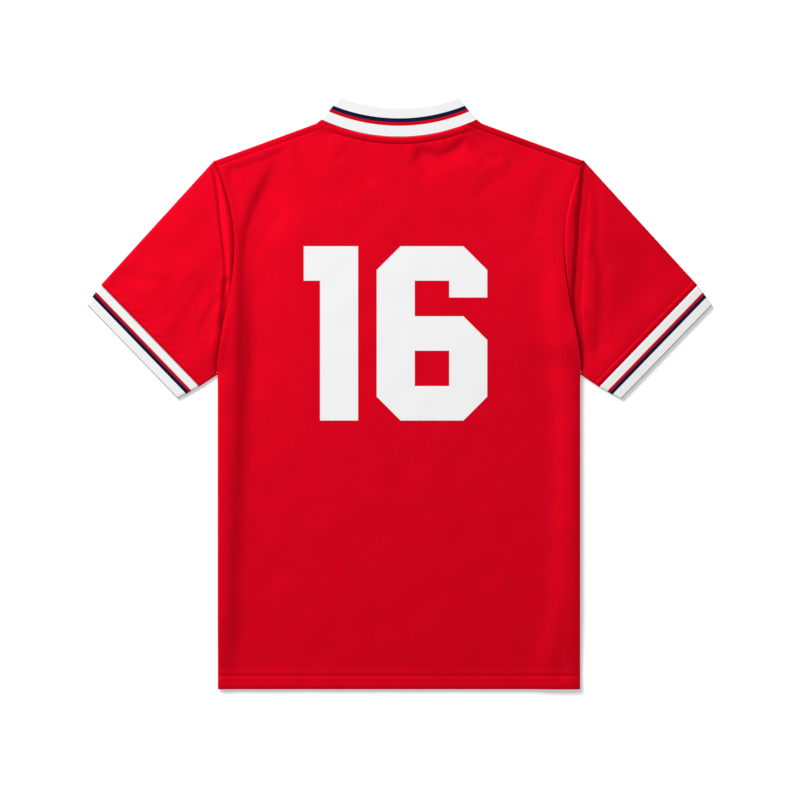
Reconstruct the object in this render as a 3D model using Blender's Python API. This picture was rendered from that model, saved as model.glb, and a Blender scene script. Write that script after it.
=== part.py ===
"""A short-sleeved football jersey lying flat on its front, so its back is up.

+X runs to the viewer's right, +Y from hem to neck and +Z up, in metres. The origin is on the
table under the middle of the shirt. Each piece is a wall of cloth round a middle surface: the
front lies on the table, the back lies on the front, and the sleeves, cuffs and collar are rings
of cloth pressed flat. Pieces stop just short of each other at the seams.
"""

import math
from collections import namedtuple

import bmesh
import bpy
import numpy as np
from mathutils import Vector, geometry

MM = 0.001

# Cloth
KNIT = 1.2 * MM  # wall of the polyester knit
RIB = 1.8 * MM  # wall of the ribbed collar and cuffs
FIGURE = 1.0 * MM  # wall of the pressed-on figures
STACK = 4.2 * MM  # two layers lying on each other, over all
SEAM_GAP = 0.3 * MM
ARMHOLE_GAP = 0.5 * MM  # wider, because both edges tilt where the ridge beside the seam rises
SIDE_GAP = 0.9 * MM  # between the turned side edges of front and back
TURN_STEPS = 3  # facets in a quarter turn of a fold
CHEST_ROW = 20 * MM  # spacing of points along an armhole
HEM_ROWS = (0, 0.5, 1, 1.6)  # rows of a panel near the hem, in hem depths
PLAIN_ROWS = (-300 * MM, -30 * MM, 6)  # first, last and number of the rows between hem and underarm
UNDERARM_ROWS_MM = (-20, -9, 1, 15)  # rows of a panel near the underarm, above it
BACK_TOP_ROWS_MM = (28, 17, 11, 8, 5, 2, 0)  # below the shoulder seam
FRONT_TOP_ROWS_MM = (15, 0)  # below the shoulder fold
BACK_NECK_COLUMNS = 7
BACK_SHOULDER_COLUMNS = (0.46, 0.56, 0.66, 0.74, 0.8, 0.85, 0.9, 0.945, 1)  # 0 middle, 1 side
FRONT_SHOULDER_COLUMNS = (0.2, 0.4, 0.6, 0.8, 1)  # 0 neck corner, 1 shoulder tip
SLEEVE_RINGS = (0, 0.025, 0.055, 0.09, 0.13, 0.19, 0.27, 0.4, 0.6, 0.8, 1)  # 0 armhole, 1 cuff seam
CUFF_RINGS = (0, 0.5, 1)
COLLAR_RINGS = 4
CUFF_POINTS = 9
WRAP_ROWS = (0.5, 1)  # from the shoulder's fold to its seam
NECKLINE_SHARES = np.sin(np.linspace(0, math.pi / 2, 9))  # closer together where it is steep

# Body
HALF_WIDTH = 236.4 * MM
HEM_Y = -384.6 * MM
HEM_DEPTH = 25 * MM
UNDERARM_Y = 25 * MM
UNDERARM_EASE = 1.3 * MM  # how far the sleeve stands off where the side seam meets it
ARMHOLE_TOP = (239.7 * MM, 304.3 * MM)
ARMHOLE_DEPTH = 24.2 * MM  # how far the armhole curves in from a straight line
ARMHOLE_SKEW = 1.4  # over 1 puts the deepest place above the middle
SHOULDER_NECK = (107.8 * MM, 351.5 * MM)  # where the folded shoulder reaches the neck edge
SHOULDER_TIP = (239 * MM, 304 * MM)
SHOULDER_WRAP = 8.5 * MM  # how far the front comes over the shoulder to its seam

# Neck and collar
NECK_HALF = 101 * MM
NECK_END_Y = 356.7 * MM
NECK_BACK_Y = 334.5 * MM
NECK_FRONT_Y = 251 * MM
NECK_FRONT_POWER = 2.4  # how round the front neckline is
NECK_ROLL = 9.1 * MM  # width of the raised edge below the collar seam
NECK_ROLL_HEIGHT = 0.7 * MM
COLLAR_HALF = 77.9 * MM
COLLAR_END_Y = 382.7 * MM
COLLAR_DEPTH = 36.8 * MM  # from the seam to the free edge, at the middle

# Sleeve and cuff: the folded top edge, then the underarm edge
SLEEVE_UNDERARM = (236.6 * MM, 25 * MM)
CUFF_SEAM_TOP = (388.4 * MM, 141.2 * MM)
CUFF_SEAM_UNDER = (260.5 * MM, 8.6 * MM)
CUFF_END_TOP = (406 * MM, 116.4 * MM)
CUFF_END_UNDER = (287.9 * MM, -6 * MM)

# Figures: a block one and a block six, with stroke ends cut square and corners cut off
FIGURE_TOP = 191.6 * MM
FIGURE_BOTTOM = -35.1 * MM
STROKE = 49.5 * MM
CUT = 31 * MM  # corner cut on the outside of the six
ONE_LEFT = -123.9 * MM
ONE_RIGHT = -53.2 * MM
ONE_FLAG_Y = 146.8 * MM
SIX_LEFT = -29 * MM
SIX_RIGHT = 114.8 * MM
SIX_ARM_Y = 124.9 * MM  # where the upper right arm ends
SIX_BOWL_Y = 100.5 * MM
FIGURE_NET = 20 * MM  # spacing of the points that let a figure follow the cloth

# Large folds of the upper layer: a smooth route through three points, how wide, how high
Fold = namedtuple("Fold", "x1 y1 x2 y2 x3 y3 width height")
FOLDS_MM = (
    # along the side seams, a roll and the hollow inside it
    Fold(-223, -420, -222, -180, -222, 60, 11, 1.2),
    Fold(-208, -420, -204, -80, -204, 190, 12, -1.3),
    Fold(-204, 190, -198, 225, -178, 262, 14, -0.9),
    Fold(222, -420, 221, -150, 219, 90, 13, 1.3),
    Fold(201, -420, 199, -150, 198, 80, 15, -0.8),
    # beside the armholes, a ridge at the seam and a trough in the sleeve
    Fold(-237, 292, -226, 240, -221, 190, 5, 1.0),
    Fold(-241, 288, -233, 225, -225, 140, 6, -1.2),
    Fold(237, 292, 226, 250, 221, 215, 6, 1.1),
    Fold(238, 294, 234, 215, 229, 110, 7, -1.5),
    # below the collar
    Fold(38, 322, 62, 314, 92, 328, 7, -0.8),
)
ROUTE_STEPS = 10

RED = (0.60, 0.004, 0.014, 1)
WHITE = (0.87, 0.87, 0.88, 1)


def smooth(t):
    """0 below 0, 1 above 1, and an easy curve between."""
    t = np.clip(t, 0, 1)
    return t * t * (3 - 2 * t)


def unit(x, y):
    length = math.hypot(x, y)
    return np.array((x / length, y / length))


def edge_out(start, end, side):
    """Unit direction out of an edge in plan; side is 1 for its left as it runs, -1 for its right."""
    along = unit(end[0] - start[0], end[1] - start[1])
    return np.array((-along[1], along[0])) * side


def arc_y(x, half, end_y, mid_y):
    """Height in plan of the arc through (-half, end_y), (0, mid_y) and (half, end_y)."""
    rise = end_y - mid_y
    radius = (half * half + rise * rise) / (2 * rise)
    return mid_y + radius - np.sqrt(radius * radius - x * x)


def armhole_x(y):
    """The armhole seam's x on the right side, and the side seam's below the underarm."""
    t = np.clip((y - UNDERARM_Y) / (ARMHOLE_TOP[1] - UNDERARM_Y), 0, 1)
    chord = HALF_WIDTH + (ARMHOLE_TOP[0] - HALF_WIDTH) * t
    return chord - ARMHOLE_DEPTH * np.sin(math.pi * t**ARMHOLE_SKEW)


def shoulder_seam_y(x):
    """The seam on the back side, one wrap below the folded shoulder."""
    run = SHOULDER_TIP[0] - SHOULDER_NECK[0]
    drop = SHOULDER_NECK[1] - SHOULDER_TIP[1]
    slope = drop / run
    below = SHOULDER_WRAP * math.hypot(1, slope)
    return SHOULDER_NECK[1] - (x - SHOULDER_NECK[0]) * slope - below


def fold_route(fold):
    """Points on a smooth curve through the fold's three places, in metres."""
    t = np.linspace(0, 1, ROUTE_STEPS + 1)[:, None]
    start, middle, end = (np.array(p) * MM for p in (fold[0:2], fold[2:4], fold[4:6]))
    pull = 2 * middle - (start + end) / 2
    return (1 - t) ** 2 * start + 2 * t * (1 - t) * pull + t**2 * end


def fold_lift(fold, x, y):
    route = fold_route(fold)
    nearest = np.full(np.shape(x), np.inf)
    along = np.zeros(np.shape(x))
    for i, (a, b) in enumerate(zip(route, route[1:])):
        step = b - a
        t = np.clip(((x - a[0]) * step[0] + (y - a[1]) * step[1]) / (step @ step), 0, 1)
        off = np.hypot(x - a[0] - t * step[0], y - a[1] - t * step[1])
        along = np.where(off < nearest, (i + t) / ROUTE_STEPS, along)
        nearest = np.minimum(off, nearest)
    fade = smooth(along / 0.25) * smooth((1 - along) / 0.25)
    return fold.height * MM * fade * np.exp(-((nearest / (fold.width * MM)) ** 2))


def lift(x, y):
    """How far the upper layer stands above where it would lie with no folds."""
    total = sum(fold_lift(fold, x, y) for fold in FOLDS_MM)
    rise = NECK_END_Y - NECK_BACK_Y
    radius = (NECK_HALF**2 + rise**2) / (2 * rise)
    below_seam = np.hypot(x, y - NECK_BACK_Y - radius) - radius
    roll = np.sin(math.pi * np.clip(below_seam / NECK_ROLL, 0, 1)) ** 2
    return total + NECK_ROLL_HEIGHT * roll


def low_z(wall):
    return wall / 2


def high_z(x, y, wall):
    return STACK - wall / 2 + lift(x, y)


def fold_radius(wall):
    return (STACK - wall) / 2


# Meshes


def new_material(name, colour, roughness):
    material = bpy.data.materials.new(name)
    material.use_nodes = True
    shader = material.node_tree.nodes["Principled BSDF"]
    shader.inputs["Base Color"].default_value = colour
    shader.inputs["Roughness"].default_value = roughness
    shader.inputs["Metallic"].default_value = 0
    return material


def add_grid(bm, points, closed=False):
    """Quads through a table of points, rows by columns; closed joins the last column to the first."""
    rows, columns = points.shape[:2]
    verts = [[bm.verts.new(p) for p in row] for row in points.tolist()]
    for i in range(rows - 1):
        for j in range(columns if closed else columns - 1):
            k = (j + 1) % columns
            bm.faces.new((verts[i][j], verts[i][k], verts[i + 1][k], verts[i + 1][j]))


def cloth_object(name, bm, wall, material):
    """Makes the object, and gives its middle surface an even wall."""
    bmesh.ops.remove_doubles(bm, verts=bm.verts, dist=0.001 * MM)
    bmesh.ops.recalc_face_normals(bm, faces=bm.faces)
    mesh = bpy.data.meshes.new(name)
    bm.to_mesh(mesh)
    bm.free()
    mesh.shade_smooth()
    mesh.materials.append(material)
    piece = bpy.data.objects.new(name, mesh)
    bpy.context.scene.collection.objects.link(piece)
    wall_modifier = piece.modifiers.new("wall", "SOLIDIFY")
    wall_modifier.thickness = wall
    wall_modifier.offset = 0
    return piece


# Body panels: a patch between the hem, the sides and the top, then a turned edge down each side


def body_plan(columns, rows_y, top_x, top_y):
    """Plan of a panel's right half: columns run from 0 at the middle to 1 at the side."""
    turn = fold_radius(KNIT) * math.pi / 2
    share = (rows_y - rows_y[0]) / (rows_y[-1] - rows_y[0])
    side_x = armhole_x(rows_y) - turn
    x = columns * side_x[:, None] + share[:, None] * (top_x - columns * top_x[-1])
    y = rows_y[:, None] + share[:, None] * (top_y - top_y[-1])
    return x, y


def add_turned_side(x, y, z, z_seam):
    """Adds the columns where the side turns towards z_seam. Above the underarm they lie flat."""
    radius = fold_radius(KNIT)
    stop = math.pi / 2 - SIDE_GAP / 2 / radius
    curl = 1 - smooth((y[:, -1] - UNDERARM_Y + 12 * MM) / (20 * MM))
    end_x, end_y, end_z = x[:, -1], y[:, -1], z[:, -1]
    slope = (y[:, -1] - y[:, -2]) / (x[:, -1] - x[:, -2])
    for angle in np.linspace(0, stop, TURN_STEPS + 1)[1:]:
        out = radius * (curl * math.sin(angle) + (1 - curl) * angle)
        turned = (1 - math.cos(angle)) * curl
        x = np.column_stack((x, end_x + out))
        y = np.column_stack((y, end_y + slope * out))
        z = np.column_stack((z, end_z + (z_seam - end_z) * turned))
    return x, y, z


def panel_points(columns, rows_y, top, z_of):
    """Both halves of a panel as one table of points, rows by columns."""
    halves = []
    for side in (-1, 1):
        x, y = body_plan(columns, rows_y, *top)
        z = z_of(side * x, y)
        z_seam = (high_z(side * x[:, -1], y[:, -1], KNIT) + low_z(KNIT)) / 2
        x, y, z = add_turned_side(x, y, z, z_seam)
        halves.append(np.dstack((side * x, y, z)))
    return np.concatenate((halves[0][:, :0:-1], halves[1]), axis=1)


def top_edge(columns, corner, tip_x, neck_y, shoulder_y):
    """A panel's top edge, along the neck as far as the corner and then along the shoulder."""
    corner_share = corner / HALF_WIDTH
    beyond = np.clip((columns - corner_share) / (1 - corner_share), 0, 1)
    x = np.where(columns <= corner_share, columns * HALF_WIDTH, corner + (tip_x - corner) * beyond)
    y = np.where(columns <= corner_share, neck_y(np.minimum(x, corner)), shoulder_y(x))
    return x, y


def neckline_y(x, half, end_y, mid_y):
    """The round front neckline, lowest in the middle."""
    return mid_y + (end_y - mid_y) * (np.abs(x) / half) ** NECK_FRONT_POWER


def neck_back_y(x):
    return arc_y(x, NECK_HALF, NECK_END_Y, NECK_BACK_Y)


def body_rows(top_y, below_top):
    """Heights of a panel's rows at its side, close together where the cloth turns."""
    hem = HEM_Y + HEM_DEPTH * np.array(HEM_ROWS)
    plain = np.linspace(*PLAIN_ROWS)
    underarm = UNDERARM_Y + np.array(UNDERARM_ROWS_MM) * MM
    chest = np.arange(underarm[-1] + CHEST_ROW, top_y - below_top[0] - CHEST_ROW / 2, CHEST_ROW)
    return np.concatenate((hem, plain, underarm, chest, top_y - below_top))


def neck_corner_x(above=0):
    """Where a line this far above the shoulder seam runs into the back neck seam."""
    low, high = NECK_HALF / 2, NECK_HALF
    while high - low > MM / 1000:
        middle = (low + high) / 2
        if shoulder_seam_y(middle) + above > neck_back_y(middle):
            low = middle
        else:
            high = middle
    return low


def back_panel(material):
    corner_x = neck_corner_x()
    neck = np.linspace(0, corner_x / HALF_WIDTH, BACK_NECK_COLUMNS)
    columns = np.concatenate((neck, BACK_SHOULDER_COLUMNS))
    tip_y = shoulder_seam_y(SHOULDER_TIP[0])
    tip_x = armhole_x(tip_y) - fold_radius(KNIT) * math.pi / 2
    top = top_edge(columns, corner_x, tip_x, neck_back_y, shoulder_seam_y)
    rows_y = body_rows(top[1][-1], np.array(BACK_TOP_ROWS_MM) * MM)
    bm = bmesh.new()
    add_grid(bm, panel_points(columns, rows_y, top, lambda x, y: high_z(x, y, KNIT)))
    return cloth_object("back_panel", bm, KNIT, material)


def front_panel(material):
    radius = fold_radius(KNIT)
    inset = radius + KNIT / 2
    neck_out = edge_out((NECK_HALF, NECK_END_Y), (COLLAR_HALF, COLLAR_END_Y), -1)
    shoulder_out = edge_out(SHOULDER_NECK, SHOULDER_TIP, 1)
    corner_x = NECK_HALF - inset * neck_out[0]
    corner = np.array((corner_x, neck_back_y(corner_x)))
    fold_start = np.array(SHOULDER_NECK) - inset * shoulder_out
    fold_end = np.array(SHOULDER_TIP) - inset * shoulder_out
    tip = np.array((armhole_x(fold_end[1]) - radius * math.pi / 2, fold_end[1]))

    def neck_y(x):
        return neckline_y(x, *corner, NECK_FRONT_Y)

    def shoulder_y(x):
        return np.interp(x, (corner[0], fold_start[0], tip[0]), (corner[1], fold_start[1], tip[1]))

    neck = NECKLINE_SHARES * corner[0] / HALF_WIDTH
    first = (fold_start[0] - corner[0]) / (tip[0] - corner[0])
    corner_share = corner[0] / HALF_WIDTH
    shoulder = corner_share + (1 - corner_share) * np.array((first, *FRONT_SHOULDER_COLUMNS))
    columns = np.concatenate((neck, shoulder))
    top = top_edge(columns, corner[0], tip[0], neck_y, shoulder_y)
    rows_y = body_rows(tip[1], np.array(FRONT_TOP_ROWS_MM) * MM)
    points = panel_points(columns, rows_y, top, lambda x, y: np.full(x.shape, low_z(KNIT)))
    bm = bmesh.new()
    add_grid(bm, points)

    # the wrap over each shoulder, from the last row of the panel round to the shoulder seam
    first_column = len(neck) - 1
    half = len(columns) - 1 + TURN_STEPS
    for side in (-1, 1):
        edge = points[-1, half + side * first_column :: side]
        outs = np.array([neck_out] + [shoulder_out] * (len(edge) - 1)) * (side, 1)
        seam_x = np.abs(edge[:, 0]) - (SHOULDER_WRAP - inset - SEAM_GAP) * shoulder_out[0]
        seam_x[0] = neck_corner_x(SEAM_GAP)
        seam_y = shoulder_seam_y(seam_x) + SEAM_GAP
        seam = np.column_stack((side * seam_x, seam_y))
        add_grid(bm, wrap_rows(edge, outs, seam))
    return cloth_object("front_panel", bm, KNIT, material)


def wrap_rows(edge, outs, seam):
    """Rows that turn from the edge on the lower layer up and back to the seam on the upper one."""
    radius = fold_radius(KNIT)
    plan = edge[:, :2]
    z_high = high_z(plan[:, 0], plan[:, 1], KNIT)
    middle = (z_high + edge[:, 2]) / 2
    rows = []
    for angle in np.linspace(0, math.pi, 2 * TURN_STEPS + 1):
        z = middle - (middle - edge[:, 2]) * math.cos(angle)
        rows.append(np.column_stack((plan + radius * math.sin(angle) * outs, z)))
    for share in WRAP_ROWS:
        flat = plan + share * (seam - plan)
        rows.append(np.column_stack((flat, high_z(flat[:, 0], flat[:, 1], KNIT))))
    return np.array(rows)


# Rings: an upper and a lower layer joined by a fold at each end


def pressed_ring(upper, lower, outs, wall):
    """One ring's points: along the upper layer, round the fold at its end, back along the lower."""
    radius = fold_radius(wall)
    upper_z = high_z(upper[:, 0], upper[:, 1], wall)
    lower_z = np.full(len(lower), low_z(wall))
    points = np.column_stack((upper, upper_z)).tolist()
    for out, at, z, turns in (
        (outs[1], upper[-1], upper_z[-1], (0, math.pi)),
        (outs[0], upper[0], upper_z[0], (math.pi, 0)),
    ):
        middle = (z + low_z(wall)) / 2
        for angle in np.linspace(*turns, 2 * TURN_STEPS + 1)[1:-1]:
            plan = at + radius * math.sin(angle) * out
            points.append((*plan, middle + (z - middle) * math.cos(angle)))
        if turns[0] == 0:
            points += np.column_stack((lower, lower_z))[::-1].tolist()
    return points


def tube_object(name, rings, wall, material):
    bm = bmesh.new()
    add_grid(bm, np.array(rings), closed=True)
    return cloth_object(name, bm, wall, material)


def between(start, end, shares):
    """Points on the straight line from start to end at each share of the way."""
    return np.array(start) + np.array(shares)[:, None] * (np.array(end) - np.array(start))


def sleeve(name, side, material):
    inset = fold_radius(KNIT) + KNIT / 2
    top_out = edge_out(SHOULDER_TIP, CUFF_SEAM_TOP, 1)
    under_out = edge_out(SLEEVE_UNDERARM, CUFF_SEAM_UNDER, -1)
    start_y = (np.array(SHOULDER_TIP) - inset * top_out)[1]
    end_y = (np.array(SLEEVE_UNDERARM) - inset * under_out)[1]
    shares = np.linspace(0, 1, round((start_y - end_y) / CHEST_ROW) + 1)
    armhole_y = start_y + (end_y - start_y) * shares
    eased_x = armhole_x(armhole_y) + ARMHOLE_GAP + UNDERARM_EASE * shares**4
    armhole = np.column_stack((eased_x, armhole_y))
    seam = between(CUFF_SEAM_TOP - inset * top_out, CUFF_SEAM_UNDER - inset * under_out, shares)
    outs = [top_out * (side, 1), under_out * (side, 1)]
    rings = []
    for share in SLEEVE_RINGS:
        line = (armhole + share * (seam - armhole)) * (side, 1)
        rings.append(pressed_ring(line, line, outs, KNIT))
    return tube_object(name, rings, KNIT, material)


def cuff(name, side, material):
    inset = fold_radius(RIB) + RIB / 2
    top_out = edge_out(CUFF_SEAM_TOP, CUFF_END_TOP, 1)
    under_out = edge_out(CUFF_SEAM_UNDER, CUFF_END_UNDER, -1)
    down_sleeve = edge_out(CUFF_SEAM_TOP, CUFF_SEAM_UNDER, 1)
    shares = np.linspace(0, 1, CUFF_POINTS)
    gap = SEAM_GAP * down_sleeve
    seam = between(CUFF_SEAM_TOP - inset * top_out, CUFF_SEAM_UNDER - inset * under_out, shares) + gap
    end = between(CUFF_END_TOP - inset * top_out, CUFF_END_UNDER - inset * under_out, shares)
    outs = [top_out * (side, 1), under_out * (side, 1)]
    rings = []
    for share in CUFF_RINGS:
        line = (seam + share * (end - seam)) * (side, 1)
        rings.append(pressed_ring(line, line, outs, RIB))
    return tube_object(name, rings, RIB, material)


def collar(material):
    inset = fold_radius(RIB) + RIB / 2
    out = edge_out((NECK_HALF, NECK_END_Y), (COLLAR_HALF, COLLAR_END_Y), -1)
    along = unit(COLLAR_HALF - NECK_HALF, COLLAR_END_Y - NECK_END_Y)
    shares = np.concatenate((-NECKLINE_SHARES[:0:-1], NECKLINE_SHARES))
    rings = []
    for up in np.linspace(SEAM_GAP, COLLAR_DEPTH, COLLAR_RINGS):
        half, end_y = np.array((NECK_HALF, NECK_END_Y)) + up * along
        across = (half - inset * out[0]) * shares
        back_y = arc_y(across, half, end_y, NECK_BACK_Y + up)
        front_y = neckline_y(across, across[-1], back_y[-1], NECK_FRONT_Y + up)
        back = np.column_stack((across, back_y))
        front = np.column_stack((across, front_y))
        rings.append(pressed_ring(back, front, [out * (-1, 1), out], RIB))
    return tube_object("collar", rings, RIB, material)


# Figures: flat outlines filled with a net of points, then laid on the back


def outline_one():
    stem = ONE_RIGHT - STROKE
    return [
        (ONE_LEFT, FIGURE_TOP),
        (ONE_RIGHT, FIGURE_TOP),
        (ONE_RIGHT, FIGURE_BOTTOM),
        (stem, FIGURE_BOTTOM),
        (stem, ONE_FLAG_Y),
        (ONE_LEFT, ONE_FLAG_Y),
    ]


def outline_six():
    return [
        (SIX_LEFT + CUT, FIGURE_TOP),
        (SIX_RIGHT - CUT, FIGURE_TOP),
        (SIX_RIGHT, FIGURE_TOP - CUT),
        (SIX_RIGHT, SIX_ARM_Y),
        (SIX_RIGHT - STROKE, SIX_ARM_Y),
        (SIX_RIGHT - STROKE, ONE_FLAG_Y),
        (SIX_LEFT + STROKE, ONE_FLAG_Y),
        (SIX_LEFT + STROKE, SIX_BOWL_Y),
        (SIX_RIGHT - CUT, SIX_BOWL_Y),
        (SIX_RIGHT, SIX_BOWL_Y - CUT),
        (SIX_RIGHT, FIGURE_BOTTOM + CUT),
        (SIX_RIGHT - CUT, FIGURE_BOTTOM),
        (SIX_LEFT + CUT, FIGURE_BOTTOM),
        (SIX_LEFT, FIGURE_BOTTOM + CUT),
        (SIX_LEFT, FIGURE_TOP - CUT),
    ]


def window_six():
    left, right = SIX_LEFT + STROKE, SIX_RIGHT - STROKE
    top, bottom = SIX_BOWL_Y - (FIGURE_TOP - ONE_FLAG_Y), FIGURE_BOTTOM + (FIGURE_TOP - ONE_FLAG_Y)
    return [(left, bottom), (right, bottom), (right, top), (left, top)]


def inside(place, outline):
    """True where a ray to the right crosses the outline an odd number of times."""
    crossings = 0
    for (x1, y1), (x2, y2) in zip(outline, outline[1:] + outline[:1]):
        if (y1 > place[1]) != (y2 > place[1]):
            crossings += place[0] < x1 + (place[1] - y1) / (y2 - y1) * (x2 - x1)
    return crossings % 2 == 1


def clear_of(place, points):
    return all(math.dist(place, p) > FIGURE_NET * 0.6 for p in points)


def figure(name, outlines, material):
    """A figure cut to its outer outline, with a window where there is a second one."""
    places = []
    edges = []
    for outline in outlines:
        first = len(places)
        for start, end in zip(outline, outline[1:] + outline[:1]):
            steps = max(1, round(math.dist(start, end) / FIGURE_NET))
            places += between(start, end, np.arange(steps) / steps).tolist()
        last = len(places) - 1
        edges += [(i, i + 1) for i in range(first, last)] + [(last, first)]
    rim = list(places)
    for x in np.arange(ONE_LEFT, SIX_RIGHT, FIGURE_NET):
        for y in np.arange(FIGURE_BOTTOM, FIGURE_TOP, FIGURE_NET):
            in_cloth = inside((x, y), outlines[0]) and not any(inside((x, y), o) for o in outlines[1:])
            if in_cloth and clear_of((x, y), rim):
                places.append((x, y))
    net = geometry.delaunay_2d_cdt([Vector(p) for p in places], edges, [], 2, MM / 1000)
    bm = bmesh.new()
    raised = KNIT / 2 + SEAM_GAP + FIGURE / 2
    verts = [bm.verts.new((x, y, high_z(x, y, KNIT) + raised)) for x, y in net[0]]
    for triangle in net[2]:
        centre = sum((net[0][i] for i in triangle), Vector((0, 0))) / 3
        if not any(inside(centre, window) for window in outlines[1:]):
            bm.faces.new([verts[i] for i in triangle])
    return cloth_object(name, bm, FIGURE, material)


for old in list(bpy.data.objects):
    bpy.data.objects.remove(old, do_unlink=True)
red_knit = new_material("red_knit", RED, 0.6)
white_rib = new_material("white_rib", WHITE, 0.8)
white_film = new_material("white_film", WHITE, 0.6)
front_panel(red_knit)
back_panel(red_knit)
for side, hand in ((-1, "left"), (1, "right")):
    sleeve("sleeve_" + hand, side, red_knit)
    cuff("cuff_" + hand, side, white_rib)
collar(white_rib)
figure("number_one", [outline_one()], white_film)
figure("number_six", [outline_six(), window_six()], white_film)
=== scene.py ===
# %% [markdown]
# # A football jersey laid flat
#
# The shirt lies on its front with its back up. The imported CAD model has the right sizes, but its
# cloth is a plain wall. This lesson puts thin cloth with folds, seams, stitches and a knit surface
# in its place. +X runs to the viewer's right, +Y from hem to neck and +Z up.

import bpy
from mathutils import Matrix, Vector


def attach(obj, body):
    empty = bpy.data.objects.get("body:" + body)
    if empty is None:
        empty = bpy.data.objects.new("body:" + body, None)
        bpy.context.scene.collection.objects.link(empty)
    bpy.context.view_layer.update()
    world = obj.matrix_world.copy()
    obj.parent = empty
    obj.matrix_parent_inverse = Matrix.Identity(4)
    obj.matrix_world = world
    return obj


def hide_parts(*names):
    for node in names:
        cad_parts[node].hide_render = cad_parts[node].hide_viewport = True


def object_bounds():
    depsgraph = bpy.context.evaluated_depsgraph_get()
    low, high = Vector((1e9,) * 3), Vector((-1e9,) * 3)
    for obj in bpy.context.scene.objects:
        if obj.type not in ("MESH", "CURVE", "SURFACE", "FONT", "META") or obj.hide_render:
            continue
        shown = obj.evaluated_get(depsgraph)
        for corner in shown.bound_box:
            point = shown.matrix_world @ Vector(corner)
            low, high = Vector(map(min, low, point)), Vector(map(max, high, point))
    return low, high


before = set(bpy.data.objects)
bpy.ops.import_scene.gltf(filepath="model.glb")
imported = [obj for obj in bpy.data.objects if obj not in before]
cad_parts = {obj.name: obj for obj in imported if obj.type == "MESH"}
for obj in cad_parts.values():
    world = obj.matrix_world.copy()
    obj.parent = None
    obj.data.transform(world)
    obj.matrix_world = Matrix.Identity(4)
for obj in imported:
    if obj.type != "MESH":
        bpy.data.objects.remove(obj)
cad_box = [list(corner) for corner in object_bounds()]
print("CAD box in metres:", cad_box)

# %% [markdown]
# ## Camera, floor and light
#
# A flat garment is looked at from straight above. A long lens from two and a half metres keeps
# its outline true, with hardly any perspective. The floor is a plain pale sheet of card.
#
# Folds in thin cloth are only a millimetre or two high, so they show by shade and not by shape.
# One large soft light stands low beyond the shirt's left shoulder and rakes across them. A white
# world fills the shade, as white walls do. The card glows a little, so it is white to its corners.

# %% Camera straight above
import math
from collections import namedtuple

import bmesh
import bpy
import numpy as np
from mathutils import Vector, geometry

MM = 0.001
LENS_MM = 85
FRAME_WIDTH = 1.04  # metres of table across the picture
FRAME_CENTRE = (0.0013, -0.0084)


def add_object(name, data):
    """A new object in the scene."""
    thing = bpy.data.objects.new(name, data)
    bpy.context.scene.collection.objects.link(thing)
    return thing


camera_data = bpy.data.cameras.new("camera")
camera_data.lens = LENS_MM
camera_height = FRAME_WIDTH * LENS_MM / camera_data.sensor_width
camera = add_object("camera", camera_data)
camera.location = (*FRAME_CENTRE, camera_height + cad_box[1][2])
bpy.context.scene.camera = camera
bpy.context.scene.view_settings.view_transform = "Standard"
print("camera height:", round(camera_height, 3), "m")

# %% Helpers for materials
def new_material(name, **inputs):
    """A node material and its main shader. Inputs are the shader's own sockets, with _ for a space."""
    material = bpy.data.materials.new(name)
    material.use_nodes = True
    shader = material.node_tree.nodes["Principled BSDF"]
    for key, value in inputs.items():
        connect(material, shader, key.replace("_", " "), value)
    return material, shader


def add_node(material, kind, settings=None, **inputs):
    """Adds a node. Inputs are values or other nodes' outputs, by socket name with _ for a space."""
    node = material.node_tree.nodes.new(kind)
    for key, value in (settings or {}).items():
        setattr(node, key, value)
    for key, value in inputs.items():
        connect(material, node, key.replace("_", " "), value)
    return node


def feed(material, socket, value):
    """Sets a socket to a value, or links another node's output to it."""
    if isinstance(value, bpy.types.NodeSocket):
        material.node_tree.links.new(value, socket)
    else:
        socket.default_value = value


def connect(material, node, socket_name, value):
    feed(material, [s for s in node.inputs if s.name == socket_name and s.enabled][0], value)


def math_node(material, operation, *values):
    """The result of a Math node; each value is a number or another node's output."""
    node = add_node(material, "ShaderNodeMath", {"operation": operation})
    for socket, value in zip(node.inputs, values):
        feed(material, socket, value)
    return node.outputs["Value"]


def add_noise(material, place, scale, **inputs):
    return add_node(material, "ShaderNodeTexNoise", Vector=place, Scale=scale, **inputs).outputs["Fac"]


def add_ramp(material, share, *stops):
    """The colour of a ramp through these stops, each a position and a colour."""
    ramp = add_node(material, "ShaderNodeValToRGB", Fac=share)
    elements = ramp.color_ramp.elements
    elements.remove(elements[1])
    elements[0].position, elements[0].color = stops[0]
    for position, colour in stops[1:]:
        elements.new(position).color = colour
    return ramp.outputs["Color"]


def add_bump(material, shader, height, strength, distance):
    bump = add_node(material, "ShaderNodeBump", Strength=strength, Distance=distance, Height=height)
    connect(material, shader, "Normal", bump.outputs["Normal"])


# %% Floor
FLOOR_SIZE = 6.0
FLOOR_DROP = 0.15 * MM  # the card lies this far under the cloth

card, card_shader = new_material("pale card", Base_Color=(0.60, 0.60, 0.60, 1), Roughness=0.9,
                                 Specular_IOR_Level=0.1, Emission_Color=(1, 1, 1, 1), Emission_Strength=0.38)
card_place = add_node(card, "ShaderNodeTexCoord").outputs["Object"]
add_bump(card, card_shader, add_noise(card, card_place, 300.0, Detail=3.0), 0.05, 0.2 * MM)

bpy.ops.mesh.primitive_plane_add(size=FLOOR_SIZE, location=(0, 0, -FLOOR_DROP))
floor = bpy.context.object
floor.name = "floor"
floor.data.materials.append(card)

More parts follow.
